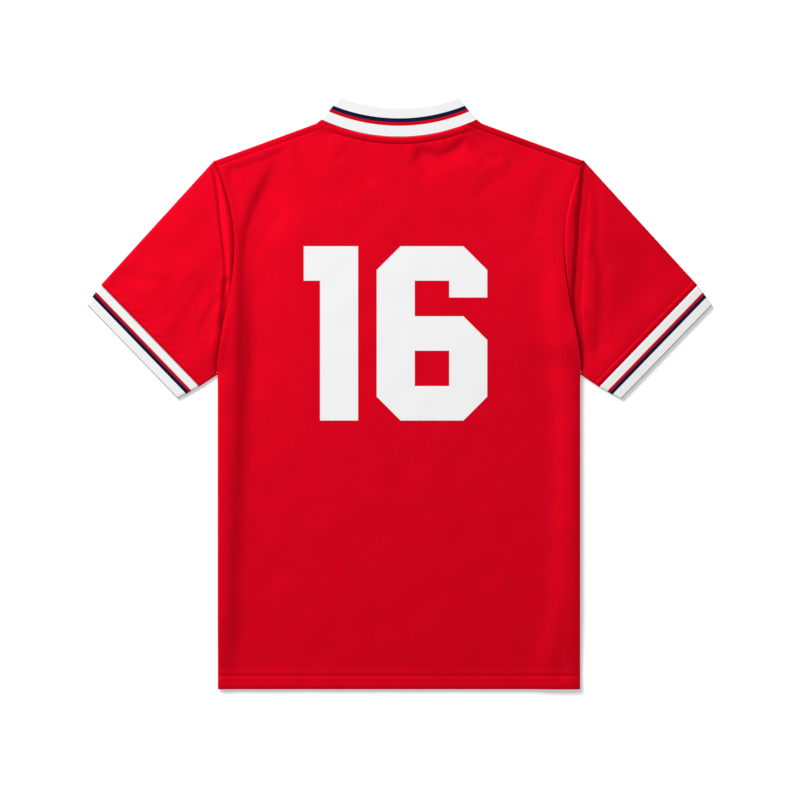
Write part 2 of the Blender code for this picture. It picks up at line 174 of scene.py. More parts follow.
# %% Light
KEY_DIRECTION = (-0.63, 0.78)  # in plan, from the shirt towards the light
KEY_ELEVATION = math.radians(34)
KEY_DISTANCE = 8.0
KEY_SIZE = 3.2
KEY_POWER = 1060
FILL = 0.34

plan_length = math.hypot(*KEY_DIRECTION)
key_flat = KEY_DISTANCE * math.cos(KEY_ELEVATION) / plan_length
key_height = KEY_DISTANCE * math.sin(KEY_ELEVATION)
key_place = Vector((KEY_DIRECTION[0] * key_flat, KEY_DIRECTION[1] * key_flat, key_height))
key_data = bpy.data.lights.new("key", "AREA")
key_data.shape = "SQUARE"
key_data.size = KEY_SIZE
key_data.energy = KEY_POWER
key = add_object("key", key_data)
key.location = key_place
key.rotation_euler = (-key_place).to_track_quat("-Z", "Y").to_euler()

world = bpy.data.worlds.new("white room")
world.use_nodes = True
white = world.node_tree.nodes["Background"].inputs
white["Color"].default_value = (1, 1, 1, 1)
white["Strength"].default_value = FILL
bpy.context.scene.world = world
print("key light at", [round(c, 2) for c in key_place])

# %% [markdown]
# ## The cut
#
# A maker starts from a paper pattern. These are the sizes of the sewn shirt as it lies, the same
# as in the CAD model, so that each new piece falls on its own solid. The cloth itself is thinner
# here than the CAD wall: a football knit is under a millimetre thick.

# %% Sizes of the pieces
KNIT = 0.75 * MM
RIB = 1.5 * MM
STACK = 4.2 * MM  # two layers lying on each other, with the air between them
FOLD_INSET = STACK / 2  # from a folded edge to where the cloth begins to turn
SEAM_GAP = 0.2 * MM
TURN_STEPS = 6  # facets in a quarter turn of a fold

HALF_WIDTH = 236.4 * MM
HEM_Y = -384.6 * MM
UNDERARM_Y = 25 * MM
UNDERARM_EASE = 1.3 * MM
ARMHOLE_TOP = (239.7 * MM, 304.3 * MM)
ARMHOLE_DEPTH = 24.2 * MM
ARMHOLE_SKEW = 1.4
ARMHOLE_TUCK = 0.5 * MM  # how far the sleeve goes under the edge of the body
SIDE_GAP = 0.5 * MM
SHOULDER_NECK = (107.8 * MM, 351.5 * MM)
SHOULDER_TIP = (239 * MM, 304 * MM)
SHOULDER_WRAP = 8.5 * MM

NECK_HALF = 101 * MM
NECK_END_Y = 355.9 * MM
NECK_BACK_Y = 333.7 * MM
NECK_FRONT_Y = 251 * MM
NECK_FRONT_POWER = 2.4
NECK_ROLL = 9.1 * MM  # from the collar seam to the line of stitches below it
COLLAR_RISE = 1.3 * MM  # the collar's seam makes the neck this much thicker
COLLAR_HALF = 77.9 * MM
COLLAR_END_Y = 382.7 * MM
COLLAR_DEPTH = 37.6 * MM

SLEEVE_UNDERARM = (236.6 * MM, 25 * MM)
CUFF_SEAM_TOP = (387.9 * MM, 141.7 * MM)
CUFF_SEAM_UNDER = (260 * MM, 9.1 * MM)
CUFF_END_TOP = (406.7 * MM, 115.7 * MM)
CUFF_END_UNDER = (288.6 * MM, -6.7 * MM)
CUFF_DEPTH = 31.4 * MM
RIGHT_LONGER = 1.2 * MM  # the right sleeve lies this much longer
CUFF_STITCH = 7.6 * MM  # from the cuff seam to the stitches on the sleeve

HEM_STITCHES = (17.5 * MM, 24.7 * MM)  # two rows of stitches above the hem's edge


# %% Lines of the pattern
def smooth(t):
    """0 below 0, 1 above 1, and an easy curve between."""
    t = np.clip(t, 0, 1)
    return t * t * (3 - 2 * t)


def bell(distance, width):
    return np.exp(-((distance / width) ** 2))


def by_side(x, left, right):
    """One value on the left half of the shirt and another on the right."""
    return np.where(x > 0, right, left)


def edge_out(start, end, side):
    """Unit direction out of an edge in plan; side is 1 for its left as it runs, -1 for its right."""
    run, rise = end[0] - start[0], end[1] - start[1]
    return np.array((-rise, run)) * side / math.hypot(run, rise)


def neck_circle():
    """Middle and radius of the circle that the back neck seam lies on."""
    rise = NECK_END_Y - NECK_BACK_Y
    radius = (NECK_HALF**2 + rise**2) / (2 * rise)
    return NECK_BACK_Y + radius, radius


def arc_y(x, half, end_y, mid_y):
    """The arc through (-half, end_y), (0, mid_y) and (half, end_y)."""
    rise = end_y - mid_y
    radius = (half * half + rise * rise) / (2 * rise)
    return mid_y + radius - np.sqrt(radius * radius - x * x)


def armhole_x(y):
    """The armhole seam's x on the right side, and the side seam's below the underarm."""
    t = np.clip((y - UNDERARM_Y) / (ARMHOLE_TOP[1] - UNDERARM_Y), 0, 1)
    chord = HALF_WIDTH + (ARMHOLE_TOP[0] - HALF_WIDTH) * t
    return chord - ARMHOLE_DEPTH * np.sin(math.pi * t**ARMHOLE_SKEW)


def shoulder_seam_y(x):
    """The shoulder seam, which lies on the back side below the folded shoulder."""
    run = SHOULDER_TIP[0] - SHOULDER_NECK[0]
    slope = (SHOULDER_NECK[1] - SHOULDER_TIP[1]) / run
    return SHOULDER_NECK[1] - (x - SHOULDER_NECK[0]) * slope - SHOULDER_WRAP * math.hypot(1, slope)


def neck_back_y(x):
    return arc_y(x, NECK_HALF, NECK_END_Y, NECK_BACK_Y)


def neckline_y(x, half, end_y, mid_y):
    """The round front neckline, lowest in the middle."""
    return mid_y + (end_y - mid_y) * (np.abs(x) / half) ** NECK_FRONT_POWER


def neck_corner_x(above=0):
    """Where a line this far above the shoulder seam runs into the back neck seam."""
    low, high = NECK_HALF / 2, NECK_HALF
    while high - low > MM / 1000:
        middle = (low + high) / 2
        if shoulder_seam_y(middle) + above > neck_back_y(middle):
            low = middle
        else:
            high = middle
    return low


print("body width:", round(2 * HALF_WIDTH / MM), "mm, shoulder seam meets the neck at x =",
      round(neck_corner_x() / MM, 1), "mm")

# %% [markdown]
# ## Folds laid one by one
#
# Cloth smoothed flat by hand keeps a few long soft folds: beside the armholes, where the sleeve
# pulls, below the collar, and along the sides, where both layers roll over. A cloth simulation
# would drop them in places of its own. So each fold here is one line of a table: how high and how
# wide it is, in millimetres, and the places it passes through. Across its route it is a bell curve
# that leans, with its steep side turned from the light, so that shade is crisp and light is soft.
# Its lean says how many times wider the lit side is. A negative height is a trough.

# %% Folds of the back
Fold = namedtuple("Fold", "height width route lean", defaults=(2.2,))

BODY_FOLDS = (
    # below the shoulder seams
    Fold(-0.6, 5, ((-226, 287), (-211, 292), (-192, 298), (-168, 306), (-146, 318)), 4.0),
    Fold(-0.4, 5, ((-140, 330), (-124, 335), (-104, 340), (-86, 334)), 4.0),
    Fold(-0.4, 8, ((-72, 322), (-66, 316), (-46, 290), (-38, 270))),
    Fold(-0.9, 6, ((90, 336), (126, 331), (160, 323), (187, 313), (229, 293)), 4.6),
    # the upper end of the left roll, which runs out below the shoulder
    Fold(-1.9, 7, ((-206, -10), (-203, 48), (-201, 110), (-201, 165), (-198, 205), (-188, 238), (-174, 268),
                   (-156, 302)), 5.0),
    Fold(-0.35, 3.5, ((-227, 288), (-214, 256), (-208, 225), (-206, 196))),
    Fold(-0.2, 4, ((-192, 172), (-184, 192), (-168, 216), (-150, 246))),
    # puckers below the collar, on the right
    Fold(-1.5, 5, ((22, 319), (37, 313), (51, 309), (68, 315), (86, 329)), 3.6),
    Fold(-0.9, 4, ((80, 334), (90, 327), (101, 317), (116, 308), (134, 305)), 3.0),
    Fold(-0.5, 7, ((150, 303), (126, 284), (108, 265), (98, 250))),
    Fold(0.4, 6, ((104, 318), (120, 298), (142, 288))),
    Fold(-0.35, 6, ((26, 314), (30, 300), (33, 276))),
    # across the right shoulder blade and down beside the right armhole
    Fold(-0.4, 9, ((196, 292), (186, 262), (180, 232), (178, 205))),
    # soft folds low on the body
    Fold(-0.5, 9, ((214, -374), (212, -346), (211, -310), (212, -280))),
    Fold(0.25, 14, ((-120, -120), (-60, -210), (-40, -300))),
    Fold(-0.25, 16, ((60, -80), (90, -190), (100, -300))),
)

# %% Folds of the sleeves
SLEEVE_FOLDS = (
    # left: a narrow trough, the ridge between it and the armhole seam, and a tuck below them
    Fold(-1.2, 2.6, ((-244, 300), (-238, 277), (-234.5, 251), (-232, 225), (-227, 186), (-224.5, 147),
                     (-226, 115)), 2.2),
    Fold(0.25, 2.6, ((-240, 298), (-233, 277), (-228, 251), (-225, 225), (-220.5, 186), (-219, 147),
                     (-222, 120)), 1.0),
    Fold(-1.6, 4, ((-226, 152), (-227, 128), (-228, 108), (-231, 80)), 1.6),
    # left: streaks from that tuck towards the cuff
    Fold(-0.45, 5, ((-233, 128), (-241, 113), (-253, 92), (-262, 70))),
    Fold(0.3, 6, ((-236, 112), (-247, 92), (-256, 66))),
    Fold(-0.4, 8, ((-246, 150), (-262, 124), (-280, 98), (-296, 70))),
    Fold(0.35, 8, ((-262, 170), (-290, 134), (-314, 104))),
    # left: faint streaks fanning out from the top of the cuff
    Fold(-0.3, 4, ((-376, 162), (-350, 152), (-318, 146))),
    Fold(-0.3, 4, ((-372, 150), (-350, 130), (-330, 116))),
    Fold(0.3, 5, ((-352, 172), (-326, 160), (-298, 152))),
    # right: a narrow ridge at the seam, a crease at the foot of the step, a ridge and a soft trough
    Fold(0.3, 3.4, ((237, 296), (230, 277), (224, 238), (221, 199), (219.5, 147), (223, 118)), 1.2),
    Fold(-2.3, 2.6, ((241, 302), (240, 280), (238.5, 251), (235.5, 205), (232.5, 168), (230, 130), (229.5, 104),
                     (233, 76), (239, 40)), 2.9),
    Fold(-0.6, 5, ((250, 290), (256, 258), (258.5, 225), (257, 194), (258, 160)), 1.5),
    # right: soft streaks down the sleeve
    Fold(0.6, 6, ((255, 172), (254, 140), (251, 100))),
    Fold(-0.6, 6, ((262, 176), (265, 135), (262, 95), (257, 45))),
    Fold(0.35, 7, ((277, 165), (276, 120), (269, 65))),
    Fold(-0.3, 7, ((330, 190), (326, 176), (316, 160))),
)


# %% Height of a fold
def soft_route(places):
    """A polyline with its corners cut three times over, which makes a smooth line."""
    route = np.array(places) * MM
    for _ in range(3):
        near = route[:-1] * 0.75 + route[1:] * 0.25
        far = route[:-1] * 0.25 + route[1:] * 0.75
        cut = np.stack((near, far), axis=1).reshape(-1, 2)
        route = np.concatenate((route[:1], cut, route[-1:]))
    return route


TO_LIGHT = np.array(KEY_DIRECTION) / plan_length


def fold_height(fold, x, y):
    """Height of one fold at every place: a leaning bell across its route that fades at both ends."""
    route = soft_route(fold.route)
    reach = 3 * fold.lean * fold.width * MM
    low, high = route.min(axis=0) - reach, route.max(axis=0) + reach
    near = (x > low[0]) & (x < high[0]) & (y > low[1]) & (y < high[1])
    px, py = x[near], y[near]
    nearest = np.full(px.shape, np.inf)
    along = np.zeros(px.shape)
    lit = np.zeros(px.shape)
    for i, (a, b) in enumerate(zip(route, route[1:])):
        step = b - a
        t = np.clip(((px - a[0]) * step[0] + (py - a[1]) * step[1]) / (step @ step), 0, 1)
        off_x, off_y = px - a[0] - t * step[0], py - a[1] - t * step[1]
        off = np.hypot(off_x, off_y)
        closer = off < nearest
        along = np.where(closer, (i + t) / (len(route) - 1), along)
        lit = np.where(closer, off_x * TO_LIGHT[0] + off_y * TO_LIGHT[1], lit)
        nearest = np.minimum(off, nearest)
    fade = smooth(along / 0.22) * smooth((1 - along) / 0.22)
    on_wide_side = lit * fold.height > 0
    width = fold.width * MM * np.where(on_wide_side, fold.lean, 1)
    height = np.zeros(x.shape)
    height[near] = fold.height * MM * fade * bell(nearest, width)
    return height


# %% Slow ripples all over
RIPPLES = 14
RIPPLE_LENGTHS = (28 * MM, 95 * MM)
RIPPLE_HEIGHT = 0.035 * MM  # of each; together they come to about an eighth of a millimetre

rng = np.random.default_rng(16)
ripple_angles = rng.uniform(0, math.pi, RIPPLES)
ripple_lengths = rng.uniform(*RIPPLE_LENGTHS, RIPPLES)
ripple_starts = rng.uniform(0, 2 * math.pi, RIPPLES)


def ripple(x, y):
    """Faint uneven waves, as in any cloth smoothed by hand."""
    total = np.zeros(x.shape)
    for angle, length, start in zip(ripple_angles, ripple_lengths, ripple_starts):
        run = (x * math.cos(angle) + y * math.sin(angle)) / length
        total += RIPPLE_HEIGHT * np.sin(2 * math.pi * run + start)
    return total


def groove(distance, depth, width):
    """A pressed-in line, depth below the surface at distance 0."""
    return -depth * bell(distance, width)


# %% [markdown]
# ## How high the back lies
#
# At the sides the two layers roll over each other and stand higher than the middle of the shirt.
# The long shaded band down the left of the back is the inner slope of that roll, and it leans over
# to the shoulder blade at its top. The edges themselves dip: at the armholes into the seam, at the
# hem and the neck where thread pulls the doubled cloth down.

# %% Side rolls
# where the slope of each side roll lies, from the hem up: y, left x, right x
ROLL_LINES = MM * np.array((
    (-400, -219, 183), (-345, -217, 188), (-315, -216, 194), (-285, -215, 201), (-203, -213, 208), (-28, -206, 209),
    (48, -200, 206), (143, -199, 196), (195, -200, 192), (213, -197, 192), (243, -187, 196), (269, -174, 204),
    (300, -158, 214),
))
LEFT_ROLL, RIGHT_ROLL = 5.1 * MM, 3.5 * MM
LEFT_SLOPE_WIDTH, RIGHT_SLOPE_WIDTH = 8.5 * MM, 13 * MM


def side_rolls(x, y):
    left_x, right_x = (np.interp(y, ROLL_LINES[:, 0], ROLL_LINES[:, i]) for i in (1, 2))
    fade_left = 1 - smooth((y - 20 * MM) / (210 * MM))
    fade_right = 1 - smooth((y - 120 * MM) / (120 * MM))
    left = LEFT_ROLL * fade_left * (1 - np.tanh((x - left_x) / LEFT_SLOPE_WIDTH)) / 2
    right = RIGHT_ROLL * fade_right * (1 + np.tanh((x - right_x) / RIGHT_SLOPE_WIDTH)) / 2
    above_hem = smooth((y - HEM_Y - 5 * MM) / (90 * MM))
    return left * (0.15 + 0.85 * above_hem) + right * (0.45 + 0.55 * above_hem)


# %% The rise and the step at the armholes
LIP_TOP_Y = 112 * MM  # below this the back's edge lies over the sleeve
LIP_HEIGHT = 0.8 * MM


def lip(y):
    """1 where the back's edge lies over the sleeve, just above the underarm, and 0 elsewhere."""
    return smooth((LIP_TOP_Y - y) / (45 * MM)) * smooth((y - UNDERARM_Y) / (16 * MM))


# how far out from the right armhole seam the sleeve lies down flat again, from the underarm up: y, out
RIGHT_FEET = MM * np.array((
    (25, 1.5), (56, 1.8), (80, 3.5), (105, 6.5), (130, 9.5), (165, 17), (199, 20.5), (251, 17), (280, 11), (300, 3),
))
LEFT_FOOT = 20 * MM  # the same on the left, where it is even
LEFT_STEP, RIGHT_STEP = 18 * MM, 8.5 * MM  # width of the step
LEFT_RISE, RIGHT_RISE = 1.0 * MM, 2.3 * MM
LEFT_RISE_WIDTH, RIGHT_RISE_WIDTH = 42 * MM, 66 * MM


def on_step(x, y):
    """1 at the armhole seam, falling to 0 where the sleeve lies flat again."""
    outside = np.abs(x) - armhole_x(y)
    foot = by_side(x, LEFT_FOOT, np.interp(y, *RIGHT_FEET.T))
    width = np.minimum(by_side(x, LEFT_STEP, RIGHT_STEP), foot)
    return 1 - smooth((outside - foot + width) / width)


def armhole_rise(x, y):
    """The layers are thickest along the armhole: the body rises to it and steps down on the sleeve."""
    outside = np.abs(x) - armhole_x(y)
    on_body = bell(outside, by_side(x, LEFT_RISE_WIDTH, RIGHT_RISE_WIDTH))
    height = by_side(x, LEFT_RISE, RIGHT_RISE) * smooth((y - 30 * MM) / (40 * MM))
    height = height * by_side(x, 1, 1 - 0.35 * smooth((y - 240 * MM) / (55 * MM)))
    return height * np.where(outside > 0, on_step(x, y), on_body)


# %% Edges
LEFT_DROP, RIGHT_DROP = 1.0 * MM, 2.2 * MM
EDGE_DROP_WIDTH = 13 * MM


def edge_drop(x, y):
    """The last of the cloth rolls down to the side seam, or dips into the armhole seam."""
    inside = armhole_x(y) - np.abs(x)
    side = 1 - smooth((y - UNDERARM_Y) / (60 * MM))
    t = np.clip(1 - inside / EDGE_DROP_WIDTH, 0, 1)
    rolled = -by_side(x, LEFT_DROP, RIGHT_DROP) * side * (1 - np.sqrt(1 - 0.96 * t * t))
    dipped = (1 - side) * groove(inside, by_side(x, 0.9 * MM, 1.2 * MM), 1.5 * MM)
    lifted = LIP_HEIGHT * lip(y) * bell(inside, 7 * MM)
    return rolled + dipped + lifted


def neck_relief(x, y):
    """The doubled edge below the collar seam, and the stitches that hold it."""
    middle_y, radius = neck_circle()
    below = np.hypot(x, y - middle_y) - radius
    roll = COLLAR_RISE * (1 - np.clip(below / NECK_ROLL, 0, 1) ** 4)
    pulled = 0.16 * MM * np.sin(x / (2.1 * MM)) * bell(below - NECK_ROLL, 5 * MM)
    at_seam = groove(below, 0.35 * MM, 0.9 * MM)
    return roll + pulled + at_seam + groove(below - NECK_ROLL, 0.18 * MM, 0.9 * MM)


def hem_relief(x, y):
    """The doubled hem, its two rows of stitches and its rounded edge."""
    above = y - HEM_Y
    doubled = 0.35 * MM * (1 - smooth((above - HEM_STITCHES[1]) / (1.5 * MM)))
    doubled = doubled + 0.045 * np.clip(HEM_STITCHES[0] - above, 0, HEM_STITCHES[0])
    rows = groove(above - HEM_STITCHES[0], 0.34 * MM, 1.3 * MM)
    rows = rows + groove(above - HEM_STITCHES[1], 0.2 * MM, 0.9 * MM)
    pulled = 0.08 * MM * np.sin(x / (3.1 * MM)) * bell(above - 21 * MM, 9 * MM)
    rounded = -0.9 * MM * np.clip(1 - above / (4 * MM), 0, 1) ** 2
    return doubled + rows + pulled + rounded


def shoulder_relief(x, y):
    """The seam on each shoulder, pressed down, with the doubled edge above it; the left is softer."""
    above = (y - shoulder_seam_y(np.abs(x))) * 0.94
    beyond_neck = smooth((np.abs(x) - neck_corner_x()) / (6 * MM))
    seam = groove(above, by_side(x, 0.1 * MM, 0.9 * MM), 1.1 * MM)
    rise = 0.3 * MM * smooth(above / (2 * MM)) + 0.07 * np.clip(above, 0, SHOULDER_WRAP)
    return beyond_neck * (seam + rise * by_side(x, 0.45, 1))


# %% Height of the body
def body_z(x, y):
    """Middle of the back's cloth."""
    folds = sum(fold_height(fold, x, y) for fold in BODY_FOLDS)
    relief = neck_relief(x, y) + hem_relief(x, y) + shoulder_relief(x, y)
    raised = side_rolls(x, y) + armhole_rise(x, y) + edge_drop(x, y)
    return STACK - KNIT / 2 + folds + raised + relief + ripple(x, y)


def table_z(x, y):
    """Middle of the front's cloth, which lies on the table and only just lifts from it."""
    return KNIT / 2 + 0.8 * (ripple(x, y) + RIPPLE_HEIGHT * RIPPLES / 3).clip(0, 0.25 * MM)


test_y = np.linspace(-0.38, 0.3, 8)
print("height across the left roll, mm:", np.round(body_z(np.full(8, -0.2), test_y) / MM, 2))

# %% [markdown]
# ## From a grid to cloth
#
# Every piece starts as a grid of points on the middle of the cloth, row by row. Each point also
# gets its place on the flat cut as a UV, in metres, so that the knit runs true to the grain and the
# stripes follow the bands. A Solidify modifier gives the grid its wall, and a Bevel rounds the rim,
# as a folded and sewn edge is round.

# %% Making cloth from grids
def add_grid(bm, uv_layer, points, cut):
    """Quads through a table of points, rows by columns, with each corner's place on the cut."""
    verts = [[bm.verts.new(p) for p in row] for row in points.tolist()]
    places = cut.tolist()
    for i in range(len(verts) - 1):
        for j in range(len(verts[0]) - 1):
            corners = ((i, j), (i, j + 1), (i + 1, j + 1), (i + 1, j))
            face = bm.faces.new([verts[a][b] for a, b in corners])
            for loop, (a, b) in zip(face.loops, corners):
                loop[uv_layer].uv = places[a][b]


def finish_cloth(name, bm, wall, material, node):
    """Welds the grids, gives them a wall with a rounded rim, and puts the piece in its node's place."""
    bmesh.ops.remove_doubles(bm, verts=bm.verts, dist=0.001 * MM)
    bmesh.ops.recalc_face_normals(bm, faces=bm.faces)
    mesh = bpy.data.meshes.new(name)
    bm.to_mesh(mesh)
    bm.free()
    mesh.shade_smooth()
    mesh.materials.append(material)
    rim = mesh.attributes.new("bevel_weight_edge", "FLOAT", "EDGE")
    rim.data.foreach_set("value", open_edge_flags(mesh).astype(np.float32))
    piece = add_object(name, mesh)
    solidify = piece.modifiers.new("wall", "SOLIDIFY")
    solidify.thickness = wall
    solidify.offset = 0
    bevel = piece.modifiers.new("rounded rim", "BEVEL")
    bevel.limit_method = "WEIGHT"
    bevel.width = wall * 0.42
    bevel.segments = 2
    bevel.harden_normals = True
    bevel.use_clamp_overlap = False
    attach(piece, "root")
    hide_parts(node)
    print(name, "grid faces:", len(mesh.polygons))
    return piece


def open_edge_flags(mesh):
    """True for each edge with a face on one side only."""
    edge_of_corner = np.empty(len(mesh.loops), np.int32)
    mesh.loops.foreach_get("edge_index", edge_of_corner)
    return np.bincount(edge_of_corner, minlength=len(mesh.edges)) == 1


def cloth(name, grids, wall, material, node):
    """A piece of cloth that stands for one CAD node."""
    bm = bmesh.new()
    uv_layer = bm.loops.layers.uv.new("cut")
    for points, cut in grids:
        add_grid(bm, uv_layer, points, cut)
    return finish_cloth(name, bm, wall, material, node)


# %% [markdown]
# ## Polyester knit
#
# The red cloth is a fine polyester knit with a satin face. Seen close it is rows of tiny loops,
# about one to the millimetre, which give it a soft grain. Its gloss is the colour of the cloth, so
# part of the shader is metallic: plain gloss would put a white veil over the red.

# %% Red knit
KNIT_RED = (0.72, 0.0022, 0.0165, 1)
KNIT_RED_DEEP = (0.65, 0.0014, 0.0120, 1)
WALE = 1.0 * MM  # width of one column of loops
COURSE = 0.8 * MM  # height of one loop


def wave_scale(length):
    """The Wave texture's scale that repeats once in this length."""
    return 2 * math.pi / (20 * length)


def knit_bump(material, shader, strength):
    """Plain knit on the cut: columns of loops, each loop a V whose legs rise to the column's middle."""
    cut = add_node(material, "ShaderNodeUVMap", {"uv_map": "cut"}).outputs["UV"]
    apart = add_node(material, "ShaderNodeSeparateXYZ", Vector=cut)
    from_border = math_node(material, "PINGPONG", apart.outputs["X"], WALE / 2)
    sloped = math_node(material, "MULTIPLY_ADD", from_border, -1.1, apart.outputs["Y"])
    turns = math_node(material, "MULTIPLY", sloped, 2 * math.pi / COURSE)
    legs = math_node(material, "SINE", turns)
    column = math_node(material, "MULTIPLY", from_border, 2 / WALE)
    rounded = math_node(material, "POWER", column, 0.5)
    height = math_node(material, "MULTIPLY_ADD", legs, 0.35, rounded)
    add_bump(material, shader, height, strength, 0.1 * MM)


red_knit, red_shader = new_material("red polyester knit", Metallic=0.75, Roughness=0.58, Specular_IOR_Level=0.1,
                                    Specular_Tint=(0.7, 0.02, 0.04, 1), Sheen_Weight=0.06,
                                    Sheen_Tint=(0.9, 0.03, 0.06, 1))
red_place = add_node(red_knit, "ShaderNodeTexCoord").outputs["Object"]
red_grain = add_noise(red_knit, red_place, 420.0, Detail=2.0, Roughness=0.6)
red_clouds = add_noise(red_knit, red_place, 26.0, Detail=2.0)
red_shades = math_node(red_knit, "MULTIPLY_ADD", red_clouds, 0.35, red_grain)
red = add_ramp(red_knit, red_shades, (0.35, KNIT_RED_DEEP), (1.0, KNIT_RED))
connect(red_knit, red_shader, "Base Color", red)
knit_bump(red_knit, red_shader, 0.25)

# %% [markdown]
# ## Ribbed bands with stripes
#
# Collar and cuffs are knitted bands, white with one red and one navy stripe knitted in. On the cut
# the V direction runs across the band from its seam, so a colour ramp on V lays the stripes and a painted
# shade along the navy's outer edge. A little noise makes their borders as uneven as knitted ones. Fine ribs run
# across the band.

# %% Rib with stripes
RIB_WHITE = (0.69, 0.69, 0.695, 1)
STRIPE_RED = (0.45, 0.0012, 0.0050, 1)
STRIPE_NAVY = (0.0017, 0.007, 0.043, 1)
STRIPE_PAINTED_SHADE = (0.003, 0.004, 0.016, 1)  # painted shade: the navy made darker along its outer edge, where the band rolls down
RIB_PITCH = 1.9 * MM
RAMP_LENGTH = 40 * MM  # of the band that the ramp covers
BORDER = 0.15 * MM  # how softly one colour meets the next
WOBBLE = 0.2 * MM

# how far from the seam the red, the navy, its edge of painted shade and the white again start
COLLAR_STRIPES = np.array((14.3, 18.8, 22.0, 24.0)) * MM
CUFF_STRIPES = np.array((11.0, 14.5, 17.1, 19.0)) * MM


def rib_material(name, stripes):
    material, shader = new_material(name, Roughness=0.85, Specular_IOR_Level=0.05)
    cut = add_node(material, "ShaderNodeUVMap", {"uv_map": "cut"}).outputs["UV"]
    apart = add_node(material, "ShaderNodeSeparateXYZ", Vector=cut)
    wobble = add_noise(material, cut, 500.0, Detail=1.0)
    shifted = math_node(material, "MULTIPLY_ADD", wobble, WOBBLE, apart.outputs["Y"])
    share = add_node(material, "ShaderNodeMapRange", {"clamp": True}, Value=shifted, From_Min=WOBBLE / 2,
                     From_Max=WOBBLE / 2 + RAMP_LENGTH)
    # the fourth colour, after the navy, is painted shade and not a stripe of the rib
    colours = (RIB_WHITE, STRIPE_RED, STRIPE_NAVY, STRIPE_PAINTED_SHADE, RIB_WHITE)
    stops = [(0, RIB_WHITE)]
    for start, before, after in zip(stripes, colours, colours[1:]):
        stops += [(start / RAMP_LENGTH, before), ((start + BORDER) / RAMP_LENGTH, after)]
    connect(material, shader, "Base Color", add_ramp(material, share.outputs["Result"], *stops))

    ribs, loops = (add_node(material, "ShaderNodeTexWave", {"bands_direction": axis}, Vector=cut,
                            Scale=wave_scale(length), Distortion=0.0).outputs["Fac"]
                   for axis, length in (("X", RIB_PITCH), ("Y", COURSE)))
    add_bump(material, shader, math_node(material, "MULTIPLY_ADD", loops, 0.4, ribs), 0.5, 0.25 * MM)
    return material


collar_rib = rib_material("collar rib", COLLAR_STRIPES)
cuff_rib = rib_material("cuff rib", CUFF_STRIPES)

# %% [markdown]
# ## Back and front
#
# A panel is a patch between its hem, its two sides and its top edge. Columns of the grid run from
# hem to top and rows from side to side. Rows lie close together at the hem and the top, where
# stitches press the cloth, and columns lie close together near the sides, where the folds are
# narrow. The last few columns turn down to the side seam.

# %% Plan of a panel
def fold_radius(wall):
    return (STACK - wall) / 2


def body_plan(columns, rows_y, top_x, top_y):
    """Plan of a panel's right half: columns run from 0 at the middle to 1 at the side."""
    turn = fold_radius(KNIT) * math.pi / 2
    share = (rows_y - rows_y[0]) / (rows_y[-1] - rows_y[0])
    side_x = armhole_x(rows_y) - turn
    x = columns * side_x[:, None] + share[:, None] * (top_x - columns * top_x[-1])
    y = rows_y[:, None] + share[:, None] * (top_y - top_y[-1])
    return x, y


# %% Grid of a panel
def add_turned_side(x, y, z, z_seam, overlap):
    """Adds the columns where the side turns towards z_seam. Above the underarm they lie flat."""
    radius = fold_radius(KNIT)
    stop = math.pi / 2 - SIDE_GAP / 2 / radius
    curl = 1 - smooth((y[:, -1] - UNDERARM_Y + 12 * MM) / (20 * MM))
    end_x, end_y, end_z = x[:, -1], y[:, -1], z[:, -1]
    slope = (y[:, -1] - y[:, -2]) / (x[:, -1] - x[:, -2])
    for angle in np.linspace(0, stop, TURN_STEPS + 1)[1:]:
        out = radius * (curl * math.sin(angle) + (1 - curl) * angle) + overlap * angle / stop
        turned = (1 - math.cos(angle)) * curl
        x = np.column_stack((x, end_x + out))
        y = np.column_stack((y, end_y + slope * out))
        z = np.column_stack((z, end_z + (z_seam - end_z) * turned))
    return x, y, z


def panel_grid(columns, rows_y, top, height, overlap=0):
    """Both halves of a panel: points, and their places on the cut, rows by columns."""
    points, cut = [], []
    for side in (-1, 1):
        x, y = body_plan(columns, rows_y, *top)
        z = height(side * x, y)
        z_seam = (body_z(side * x[:, -1], y[:, -1]) + KNIT / 2) / 2
        flat_u = np.concatenate((x, x[:, -1:] + fold_radius(KNIT) * np.linspace(0.2, 1.5, TURN_STEPS)), axis=1)
        x, y, z = add_turned_side(x, y, z, z_seam, overlap * lip(y[:, -1]))
        points.append(np.dstack((side * x, y, z)))
        cut.append(np.dstack((side * flat_u, y)))
    return tuple(np.concatenate((half[0][:, :0:-1], half[1]), axis=1) for half in (points, cut))


def top_edge(columns, corner, tip_x, neck_y, shoulder_y):
    """A panel's top edge, along the neck as far as the corner and then along the shoulder."""
    corner_share = corner / HALF_WIDTH
    beyond = np.clip((columns - corner_share) / (1 - corner_share), 0, 1)
    x = np.where(columns <= corner_share, columns * HALF_WIDTH, corner + (tip_x - corner) * beyond)
    y = np.where(columns <= corner_share, neck_y(np.minimum(x, corner)), shoulder_y(x))
    return x, y


def joined(*runs):
    """Several runs of numbers one after another, each without its first, which repeats the last."""
    return np.concatenate([runs[0]] + [run[1:] for run in runs[1:]])


def body_rows(top_y, below_top, step):
    """Heights of a panel's rows at its side, close together at the hem and the top."""
    hem = HEM_Y + np.array((0, 0.5, 1.2, 2.2, 3.5, 6, 9, 12, 14.5, 16, 16.8, 17.5, 18.2, 19, 21, 23, 24,
                            24.7, 25.4, 26.2, 28, 31)) * MM
    top = top_y - np.array(below_top) * MM
    length = top[0] - hem[-1]
    return joined(hem, np.linspace(hem[-1], top[0], round(length / step) + 1), top)


# %% Back panel
COLUMN_STEP = 3.6 * MM
SIDE_COLUMN_STEP = 2.2 * MM
ROW_STEP = 4.2 * MM
SIDE_SHARE = 0.78  # from here out the columns lie closer together

